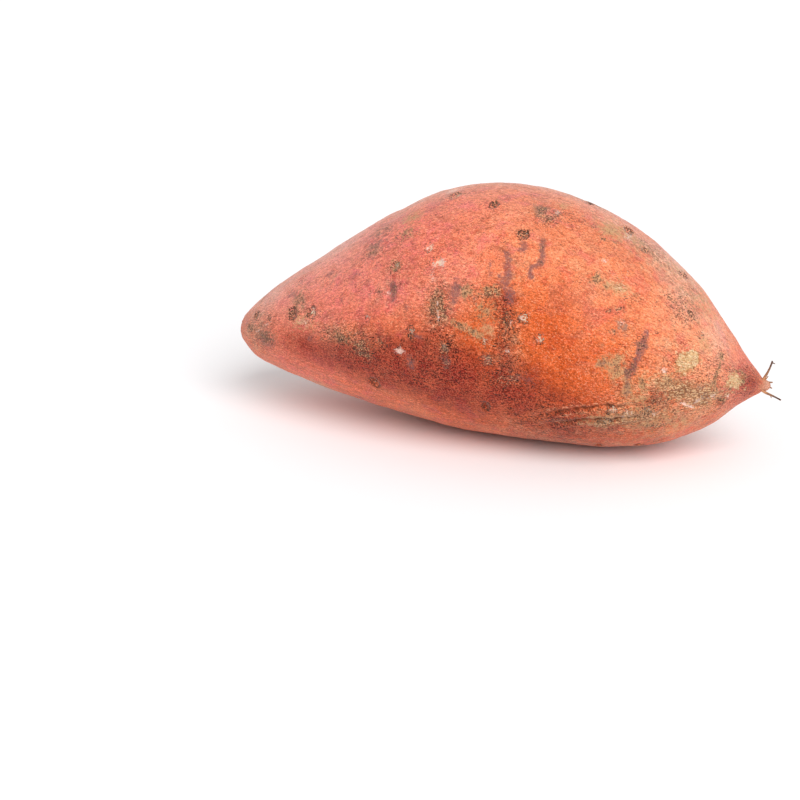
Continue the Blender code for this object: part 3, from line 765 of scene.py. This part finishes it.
wandered = spots + WANDER_MM * wander
fold_shade = np.zeros(len(spots))
fold_highlight = np.zeros(len(spots))
for line in FOLD_LINES:
    away, fade = from_fold(wandered, line)
    valley = fade * np.exp(-(away / FOLD_WIDTH)**2)
    lips = fade * np.exp(-((away / FOLD_WIDTH - FOLD_LIP_AWAY) / FOLD_LIP_WIDTH)**2)
    height += FOLD_LIP * lips - FOLD_DEPTH * valley
    # A dark line in each fold's valley is painted shade, and a pale line along its lips is a painted
    # highlight.
    fold_shade = np.maximum(fold_shade, valley**2)  # the dark line is thinner than the valley
    fold_highlight = np.maximum(fold_highlight, lips)

scar = np.zeros(len(spots))
lip = np.zeros(len(spots))
for eye in EYES:
    away = from_eye(wandered, eye)
    height += eye[4] * (EYE_LIP * away**2 - 1.0) * np.exp(-EYE_FALL * away**2)
    beside = from_eye(wandered - LIP_SHIFT, eye)
    rim = np.exp(-((away - RIM_AWAY) / RIM_WIDTH)**2)
    pit = PIT_DARKNESS * np.exp(-(away / PIT_REACH)**4)
    scar = np.maximum(scar, eye[5] * np.maximum(rim, pit))
    lip = np.maximum(lip, eye[6] * np.exp(-(beside / LIP_REACH)**2))

for places, tall, apart, seed, octaves in LOW_RELIEF:
    height += tall * roughness(places, apart, seed, octaves)

shaped = (spots + normals * height[:, None]) * MM
shaped[:, 2] = np.maximum(shaped[:, 2], 0.0)
skin_mesh.vertices.foreach_set("co", shaped.ravel())
skin_mesh.shade_smooth()
skin_mesh.update()
print("relief from", height.min().round(2), "to", height.max().round(2), "mm")


# %% [markdown]
# ## Marks as attributes
#
# Each list now fills one attribute of the mesh, a number from 0 to 1 at each point. The
# marks are read at the wandering places too, so that no spot is a neat oval. The broad
# tones are read at the plain places, because nobody sees where they end.

# %% Attributes
masks = {name: field(marks, wandered, strokes) for name, (marks, strokes) in MARKS.items()}
masks.update({name: field(marks, spots, strokes) for name, (marks, strokes) in TONES.items()})
masks.update({"scar": scar, "lip": lip, "fold_shade": fold_shade, "fold_highlight": fold_highlight})
for name, values in masks.items():
    attribute = skin_mesh.attributes.new(name, "FLOAT", "POINT")
    attribute.data.foreach_set("value", values.astype(np.float32))
attribute = skin_mesh.attributes.new("unrolled", "FLOAT_VECTOR", "POINT")
attribute.data.foreach_set("vector", (unrolled * MM).astype(np.float32).ravel())
print({name: f"{(values > 0.5).mean():.1%} of the skin" for name, values in masks.items()})


# %% [markdown]
# ## How the skin takes light
#
# Dry cork is a plain dielectric with no wax: an IOR of 1.4 and a low specular level give
# it a broad, faint highlight. A little sheen stands for the fuzz of loose cells, which
# lights up at the edges. Some light passes under the skin and comes out redder, which
# keeps the shadow side warm. None of this changes from place to place, so it is set once,
# and the colour and the finest relief are wired in further down.

# %% Skin material
skin_material, tree, shader = new_material("raw_root_skin", {
    "IOR": 1.4, "Specular IOR Level": 0.15,
    "Sheen Weight": 0.24, "Sheen Roughness": 0.4, "Sheen Tint": linear("FFE9E0"),
    "Subsurface Weight": 0.08, "Subsurface Radius": (1.0, 0.35, 0.15),
    "Subsurface Scale": 1.2 * MM})
print("skin material", skin_material.name)


# %% [markdown]
# ## Grains to draw with
#
# No mark on a root ends at a smooth line. Cork peels in flakes of half a millimetre,
# fibres run about a millimetre apart, and stains creep over centimetres. An image could
# hold all that, but at one resolution. Noise can be as fine as it has to be, so there is
# one noise for each of those real sizes, and every mark is broken up by one of them. On
# the unrolled coordinates a noise is drawn longer along the root than round it, as fibres
# are. Real cork cells are finer than a picture of the whole root shows, so the two finest
# grains are as coarse as they need to be to show.

# %% Grains
where = add_node(tree, "ShaderNodeTexCoord").outputs["Object"]
along_skin = add_node(tree, "ShaderNodeAttribute", attribute_name="unrolled").outputs["Vector"]

# Each grain: its coordinates, its size in millimetres along the root and across it, its
# detail and distortion, and a shift that sets it apart from the others.
GRAINS = {
    "mottle": (where, 15.0, 15.0, 3, 0.0, 0),
    "cloud": (where, 6.0, 6.0, 3, 0.0, 7),
    "film": (along_skin, 10.0, 6.0, 5, 0.8, 11),
    "blots": (where, 2.4, 2.4, 3, 0.0, 2),
    "clumps": (where, 1.1, 1.1, 3, 0.0, 5),
    "streaks": (along_skin, 6.5, 1.5, 4, 0.9, 13),
    "fibres": (along_skin, 2.2, 0.8, 3, 1.2, 0),
    "threads": (along_skin, 0.85, 0.45, 2, 1.3, 3),
    "specks": (where, 0.42, 0.42, 2, 0.0, 0),
    "motes": (where, 0.5, 0.5, 1, 0.0, 9),
}
grain = {}
for name, (coordinates, length, width, detail, distortion, shift) in GRAINS.items():
    placed = add_node(tree, "ShaderNodeMapping", {
        "Vector": coordinates, "Location": (shift,) * 3,
        "Scale": (1 / (length * MM), 1 / (width * MM), 1 / (width * MM))})
    grain[name] = add_node(tree, "ShaderNodeTexNoise", {
        "Vector": placed.outputs["Vector"], "Scale": 1.0, "Detail": detail,
        "Distortion": distortion}).outputs["Fac"]
mark = {name: add_node(tree, "ShaderNodeAttribute", attribute_name=name).outputs["Fac"]
        for name in masks}
print(len(grain), "grains for", len(mark), "kinds of mark")


# %% [markdown]
# ## Layers of colour
#
# Raw sweet potato skin is a thin dry cork over orange flesh, and its look is layer over
# layer: tones, fibres, stains, grains of earth. Each layer is a colour and how much of it
# shows. How much is either a grain's smooth rise and fall, or separate patches of it
# whose share of the skin follows a mark. So three short functions say every layer.

# %% Layers of colour
def showing(value, low, high, least=0.0, most=1.0, within=1.0):
    """How much shows: from least to most as a value goes from low to high, in a mark."""
    spread = add_node(tree, "ShaderNodeMapRange", {
        "Value": value, "From Min": low, "From Max": high, "To Min": least, "To Max": most},
        interpolation_type="SMOOTHSTEP").outputs["Result"]
    return add_node(tree, "ShaderNodeMath", {0: spread, 1: within},
                    operation="MULTIPLY").outputs["Value"]


def patches(mask, share, noise, gain=2.2, soft=0.10, most=1.0):
    """Patches of a noise, over more of the skin where a mask times a share is nearer 1."""
    density = add_node(tree, "ShaderNodeMath", {0: mask, 1: share},
                       operation="MULTIPLY").outputs["Value"]
    base = add_node(tree, "ShaderNodeMath", {0: density, 1: gain / 2},
                    operation="SUBTRACT").outputs["Value"]
    raised = add_node(tree, "ShaderNodeMath", {0: noise, 1: gain, 2: base},
                      operation="MULTIPLY_ADD").outputs["Value"]
    return showing(raised, 0.5 - soft, 0.5 + soft, 0.0, most, within=showing(density, 0.0, 0.1))


def coloured(colour, layers):
    """A colour with more laid over it in turn, each a hex value and how much shows."""
    for hex_colour, amount in layers:
        colour = add_node(tree, "ShaderNodeMix", {
            0: amount, 6: colour, 7: linear(hex_colour)}, data_type="RGBA").outputs[2]
    return colour


print(len(tree.nodes), "nodes before the first layer")


# %% [markdown]
# ## Tones
#
# Over centimetres the skin goes from rose at the vine end to orange and peach towards the tip, and wine
# red in places. The same wine red is laid on broadly low on the front and on the underside as painted
# shade, darker towards the bottom. One colour for all of it would look like plastic. So the broad tones
# come first, each broken up by a grain of its own size, and a dull tan film lies over them, with a pale
# painted sheen along the top and pale dust on the tip's nub.

# %% Tones
colour = coloured(linear("D6683C"), (
    ("DD7C52", showing(grain["mottle"], 0.40, 0.65, 0.0, 0.7)),
    ("EA8476", showing(grain["cloud"], 0.30, 0.60, 0.75, 1.0, within=mark["rose"])),
    ("F4A67F", showing(grain["blots"], 0.30, 0.70, 0.5, 0.9, within=mark["light"])),
    ("D8606A", showing(grain["cloud"], 0.52, 0.66, 0.0, 0.4)),
    ("D65A66", showing(grain["blots"], 0.50, 0.66, 0.0, 0.5, within=mark["rose"])),
    ("CC561C", showing(grain["cloud"], 0.30, 0.70, 0.7, 1.0, within=mark["orange"])),
    ("B64630", showing(grain["blots"], 0.46, 0.28, 0.0, 0.45)),
    ("AC6450", showing(grain["film"], 0.50, 0.66, 0.0, 0.34)),
    ("A87850", showing(grain["film"], 0.62, 0.38, 0.15, 0.55, within=mark["grime"])),
    ("B98D6C", patches(mark["dull"], 0.9, grain["blots"], 1.8, 0.35, most=0.6)),
    # Wine red skin, and painted shade in wine red laid broadly low on the front and on the underside.
    ("7A0C02", showing(grain["cloud"], 0.30, 0.65, 0.75, 1.0, within=mark["wine_and_shade"])),
    # A pale painted sheen along the top, and pale dust on the tip's nub.
    ("E8C0B0", showing(grain["fibres"], 0.30, 0.65, 0.45, 0.8, within=mark["dust_and_sheen"])),
))
print("tones", len(tree.nodes), "nodes")


# %% [markdown]
# ## Fibres
#
# Fibres lighten and darken whatever colour they run through, so they multiply it. A tint
# would lay the same pale thread over a bruise as over clean skin, and look like dust.
# Only the palest threads are tinted, and hardly at all over the wine red and its painted shade. All are
# stronger where the skin is rough: at the tip, in the folds and on old scars, and in the wine red and
# the painted shade below.

# %% Fibres
uneven = add_node(tree, "ShaderNodeMath", {0: mark["wine_and_shade"], 1: 0.5, 2: mark["grime"]},
                  operation="MULTIPLY_ADD").outputs["Value"]
gritty = showing(uneven, 0.0, 1.0, 0.8, 1.9)
rough = showing(mark["grime"], 0.0, 1.0, 0.6, 1.5)
brightness = 1.0
for name, swing, strength in (("streaks", 0.14, rough), ("fibres", 0.20, rough),
                              ("threads", 0.42, gritty), ("specks", 0.24, gritty)):
    lighter = showing(grain[name], 0.3, 0.7, -swing, swing, within=strength)
    brightness = add_node(tree, "ShaderNodeMath", {0: lighter, 1: brightness},
                          operation="ADD").outputs["Value"]
colour = add_node(tree, "ShaderNodeVectorMath", {0: colour, "Scale": brightness},
                  operation="SCALE").outputs["Vector"]
pale_where = showing(mark["wine_and_shade"], 0.0, 0.8, 1.0, 0.1,
                     within=showing(mark["orange"], 0.0, 1.0, 1.0, 0.7, within=gritty))
colour = coloured(colour, (
    ("F6C4A2", showing(grain["threads"], 0.56, 0.74, 0.0, 0.5, within=pale_where)),
))
print("fibres", len(tree.nodes), "nodes")


# %% [markdown]
# ## Stains
#
# Stains tint the skin: tan patches where its outer layer has worn to cork, a netted zone
# by the tip where the cork has cracked into lumps, purple-grey bruises, and the corky
# spots where the root healed. A bruise lies under the skin, yet it is drawn over the tan
# patches, because the tan ones are thin and a bruise shows through them. The lumps are
# cells of a Voronoi pattern on coordinates that a noise has bent, and the distance to a
# cell's edge gives both the pale lump and the dark crack.

# %% Stains
# A lump of cork in millimetres, how far its edge strays and how far apart the bends are.
LUMP_LENGTH = 2.0
LUMP_WIDTH = 1.5
LUMP_BEND = 2.6
LUMP_BENDS_APART = 1.7
bend = add_node(tree, "ShaderNodeTexNoise", {
    "Vector": where, "Scale": 1 / (LUMP_BENDS_APART * MM), "Detail": 2.0}).outputs["Color"]
bend = add_node(tree, "ShaderNodeVectorMath", {0: bend, "Scale": LUMP_BEND * MM},
                operation="SCALE").outputs["Vector"]
bent = add_node(tree, "ShaderNodeVectorMath", {0: along_skin, 1: bend},
                operation="ADD").outputs["Vector"]
placed = add_node(tree, "ShaderNodeMapping", {
    "Vector": bent,
    "Scale": (1 / (LUMP_LENGTH * MM), 1 / (LUMP_WIDTH * MM), 1 / (LUMP_WIDTH * MM))})
lumps = add_node(tree, "ShaderNodeTexVoronoi", {
    "Vector": placed.outputs["Vector"], "Scale": 1.0},
    feature="DISTANCE_TO_EDGE").outputs["Distance"]

olive = patches(mark["olive"], 1.0, grain["clumps"], 1.8, 0.36)
netted = patches(mark["netted"], 1.0, grain["clumps"], 1.8, 0.30)
bruised = patches(mark["bruise"], 1.0, grain["clumps"], 1.5, 0.34)
corky = patches(mark["cork"], 1.0, grain["clumps"], 2.4, 0.16, most=0.85)
colour = coloured(colour, (
    ("C2986C", showing(grain["blots"], 0.30, 0.70, 0.55, 0.9, within=olive)),
    ("7A4B2E", patches(mark["olive"], 0.46, grain["specks"], 2.0, 0.14, most=0.8)),
    ("DCB48A", showing(lumps, 0.06, 0.22, 0.0, 0.85, within=netted)),
    ("7A4424", showing(lumps, 0.18, 0.04, 0.0, 0.85, within=netted)),
    ("7A5454", showing(grain["blots"], 0.30, 0.70, 0.55, 0.85, within=bruised)),
    ("9A7444", patches(mark["cork"], 1.3, grain["blots"], 1.6, 0.25, most=0.6)),
    ("DEB886", corky),
    ("EAD2AE", showing(grain["fibres"], 0.45, 0.62, 0.0, 0.94, within=corky)),
    ("8C6434", showing(grain["threads"], 0.48, 0.34, 0.0, 0.88, within=corky)),
    ("8A5E36", showing(lumps, 0.12, 0.03, 0.0, 0.6, within=corky)),
))
print("stains", len(tree.nodes), "nodes")


# %% [markdown]
# ## Grains of earth, scurf and scars
#
# Earth stays in the skin as dark grains, thinly everywhere and thickly in the eyes, the folds and old
# scars, with crumbs of pale cork between. Scurf is the pale opposite: flakes of dry skin in an eye and
# near the folds. A pale line along the lips of each fold is a painted highlight, and a dark brown line
# in its valley is painted shade. All are specks of half a millimetre, so a mark decides how many there
# are, and never how dark each one is. Over all the skin lie lenticels, the brown pores that a root
# breathes through, one at each point of a Voronoi pattern, where the blots leave room for it.

# %% Earth, scurf and scars
LENTICELS_APART = 3.2
ground = showing(grain["cloud"], 0.35, 0.70, 0.08, 0.24)
for more in (mark["grime"], bruised):
    ground = add_node(tree, "ShaderNodeMath", {0: more, 1: 0.16, 2: ground},
                      operation="MULTIPLY_ADD").outputs["Value"]
flaky = add_node(tree, "ShaderNodeMath", {
    0: mark["grime"], 1: 0.14, 2: showing(grain["mottle"], 0.35, 0.65, 0.10, 0.22)},
    operation="MULTIPLY_ADD").outputs["Value"]
crumbly = showing(mark["earth"], 0.10, 0.60, 0.0, 0.65)
buried = patches(mark["earth"], 0.52, grain["motes"], 2.8, 0.12, most=0.70)
placed = add_node(tree, "ShaderNodeMapping", {
    "Vector": where, "Scale": (1 / (LENTICELS_APART * MM),) * 3})
pores = add_node(tree, "ShaderNodeTexVoronoi", {
    "Vector": placed.outputs["Vector"], "Scale": 1.0}).outputs["Distance"]
colour = coloured(colour, (
    ("8C3A1C", patches(ground, 1.0, grain["specks"], most=0.65)),
    ("EDA27C", patches(flaky, 1.0, grain["motes"], most=showing(mark["wine_and_shade"], 0.2, 0.8, 0.45, 0.1))),
    ("C4664C", patches(mark["wine_and_shade"], 0.4, grain["specks"], 2.4, 0.12, most=0.5)),
    ("7C5640", patches(mark["earth"], 0.68, grain["clumps"], 1.8, 0.24, most=0.6)),
    ("E0AE84", patches(mark["earth"], 0.42, grain["specks"], 2.6, 0.10, most=crumbly)),
    ("35221A", buried),
    ("3C2820", patches(mark["scar"], 0.85, grain["motes"], 2.4, 0.16, most=0.82)),
    ("EAC9BA", patches(mark["scurf"], 0.85, grain["motes"], 1.2, 0.30, most=0.85)),
    ("F0D2B6", patches(mark["lip"], 0.75, grain["motes"], 1.8, 0.20, most=0.85)),
    # A pale painted highlight along the lips of each fold.
    ("DDAA84", patches(mark["fold_highlight"], 0.5, grain["threads"], 1.6, most=0.6)),
    # Painted shade: a dark brown line in each fold's valley.
    ("56260F", patches(mark["fold_shade"], 1.0, grain["clumps"], 1.6, 0.25, most=0.7)),
    ("6E3424", showing(pores, 0.14, 0.07, 0.0, 0.7, within=showing(grain["blots"], 0.50, 0.58))),
))
tree.links.new(colour, shader.inputs["Base Color"])
print("skin colour", len(tree.nodes), "nodes")


# %% [markdown]
# ## The finest relief
#
# Relief finer than the mesh is bump, which only turns the light: fibres stand up and
# buried grains of earth sit low. The roughness is near 0.5 and goes up and down with the
# finest grain, so that the highlight breaks up as it does on cork.

# %% Finest relief
BUMP_MM = 0.24
relief = 0.0
for name, tall in (("fibres", 0.5), ("threads", 0.3), ("specks", -0.2)):
    relief = add_node(tree, "ShaderNodeMath", {0: grain[name], 1: tall, 2: relief},
                      operation="MULTIPLY_ADD").outputs["Value"]
relief = add_node(tree, "ShaderNodeMath", {0: relief, 1: gritty},
                  operation="MULTIPLY").outputs["Value"]
relief = add_node(tree, "ShaderNodeMath", {0: buried, 1: -0.5, 2: relief},
                  operation="MULTIPLY_ADD").outputs["Value"]
bump = add_node(tree, "ShaderNodeBump", {"Height": relief, "Distance": BUMP_MM * MM,
                                         "Strength": 1.0})
tree.links.new(bump.outputs["Normal"], shader.inputs["Normal"])
tree.links.new(showing(grain["specks"], 0.3, 0.7, 0.44, 0.60), shader.inputs["Roughness"])
print("skin material", len(tree.nodes), "nodes")


# %% [markdown]
# ## The skin as a piece
#
# The finished mesh becomes an object at the origin that rides on the root body and
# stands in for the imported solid, which stays behind it for collision.

# %% Skin piece
skin_mesh.materials.append(skin_material)
skin = new_object("sweet_potato_skin", skin_mesh)
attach(skin, "root")
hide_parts("sweet_potato")
print("skin piece", [round(x * 1000, 1) for x in skin.dimensions], "mm")


# %% [markdown]
# ## Rootlets at the tip
#
# The tip ends in a tan nub where the thin root tore off, with a few dry threads still
# on it. A thread is a curve with a round bevel whose radius changes from point to point,
# so it can be knobbly and taper to a torn end. Extruded cylinders would show their
# corners at each bend. They are turned into one mesh, which rides with the skin.

# %% Rootlets
TIP = np.array((STATIONS[-1][0], STATIONS[-1][2], STATIONS[-1][1])) + START
THREAD_SIDES = 4
# Each thread: its half thickness, then its points as steps from the tip in millimetres.
THREADS = (
    (0.52, ((-3.8, 0.0, 0.3), (-2.6, 0.0, 1.3), (-1.9, 0.2, 2.7), (-1.2, 0.3, 4.2), (-0.6, 0.5, 5.8),
            (-0.2, 0.6, 7.2), (-0.1, 0.6, 7.8))),
    (0.44, ((-3.8, -0.4, -0.4), (-2.8, -1.2, -1.3), (-1.4, -1.3, -2.0), (0.1, -1.3, -2.5),
            (1.8, -1.3, -3.1), (3.0, -1.3, -3.6), (3.6, -1.3, -3.9))),
    (0.42, ((-2.8, 0.0, 0.5), (-1.4, 0.0, 0.9), (-0.3, 0.0, 1.0), (0.5, 0.1, 1.1))),
    (0.38, ((-2.4, 0.1, -0.1), (-1.0, 0.1, -0.3), (-0.2, 0.1, -0.7), (0.4, 0.2, -0.9))),
    (0.26, ((-0.3, 0.6, 7.2), (0.3, 0.6, 7.2), (0.8, 0.5, 7.0))),
    (0.22, ((-2.2, 0.1, 1.2), (-1.5, 0.1, 2.0), (-1.0, 0.2, 2.9))),
    (0.20, ((0.2, -1.3, -2.5), (0.5, -1.3, -3.1), (0.6, -1.3, -3.6))),
)
KNOBBLY = 0.22
KNOB_SEED = 5
# Each thread ends this much thinner than it starts.
THREAD_TAPER = 0.5
# Points closer together than this, in millimetres, are one.
SAME_POINT = 0.001
thread_draw = np.random.default_rng(KNOB_SEED)

threads_curve = bpy.data.curves.new("tip_rootlets", "CURVE")
threads_curve.dimensions = "3D"
threads_curve.bevel_depth = MM
threads_curve.bevel_resolution = THREAD_SIDES
threads_curve.resolution_u = 5
threads_curve.use_fill_caps = True
for radius, steps in THREADS:
    line = threads_curve.splines.new("NURBS")
    line.points.add(len(steps) - 1)
    line.order_u = 3
    line.use_endpoint_u = True
    for index, (point, step) in enumerate(zip(line.points, steps)):
        taper = 1.0 - THREAD_TAPER * index / (len(steps) - 1)
        point.co = (*((TIP + step) * MM), 1.0)
        point.radius = radius * taper * (1 + KNOBBLY * thread_draw.uniform(-1, 1))
guide = bpy.data.objects.new("tip_rootlets_line", threads_curve)
rootlet_mesh = bpy.data.meshes.new_from_object(guide)
bpy.data.objects.remove(guide)

tubes = bmesh.new()
tubes.from_mesh(rootlet_mesh)
bmesh.ops.remove_doubles(tubes, verts=tubes.verts, dist=SAME_POINT * MM)
bmesh.ops.recalc_face_normals(tubes, faces=tubes.faces)
tubes.to_mesh(rootlet_mesh)
tubes.free()
rootlet_mesh.shade_smooth()
print(len(THREADS), "threads,", len(rootlet_mesh.polygons), "faces")


# %% [markdown]
# ## Rootlet material
#
# A dead rootlet is dry bark: matt, tan where it leaves the root and brown further out,
# with fine lengthwise cracks that are too small to model and are drawn as dark specks.

# %% Rootlet material
# How far apart the cracks are in x, y and z, and how deep, in millimetres.
CRACK_SIZES = (0.9, 0.35, 0.6)
CRACK_DEPTH = 0.15
# The bark goes from tan to brown between these steps from the tip, in millimetres.
BROWN_ALONG = (-3.0, 3.0)
BROWN_UP = (1.0, 8.0)
bark, tree, shader = new_material("dry_rootlet_bark", {"Roughness": 0.75})
where = add_node(tree, "ShaderNodeTexCoord").outputs["Object"]
reach = add_node(tree, "ShaderNodeSeparateXYZ", {"Vector": where})
placed = add_node(tree, "ShaderNodeMapping", {
    "Vector": where, "Scale": tuple(1 / (size * MM) for size in CRACK_SIZES)})
streaks = add_node(tree, "ShaderNodeTexNoise", {
    "Vector": placed.outputs["Vector"], "Scale": 1.0, "Detail": 3.0}).outputs["Fac"]
colour = coloured(linear("C98E63"), (
    ("5A3C2C", showing(reach.outputs["X"], *((TIP[0] + step) * MM for step in BROWN_ALONG))),
    ("5A3C2C", showing(reach.outputs["Z"], *((TIP[2] + step) * MM for step in BROWN_UP))),
    ("3A241A", showing(streaks, 0.50, 0.30, 0.0, 0.7)),
))
tree.links.new(colour, shader.inputs["Base Color"])
bump = add_node(tree, "ShaderNodeBump", {"Height": streaks, "Distance": CRACK_DEPTH * MM})
tree.links.new(bump.outputs["Normal"], shader.inputs["Normal"])

rootlet_mesh.materials.clear()
rootlet_mesh.materials.append(bark)
rootlets = new_object("tip_rootlets", rootlet_mesh)
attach(rootlets, "root")
print("rootlets", [round(x * 1000, 1) for x in rootlets.dimensions], "mm")
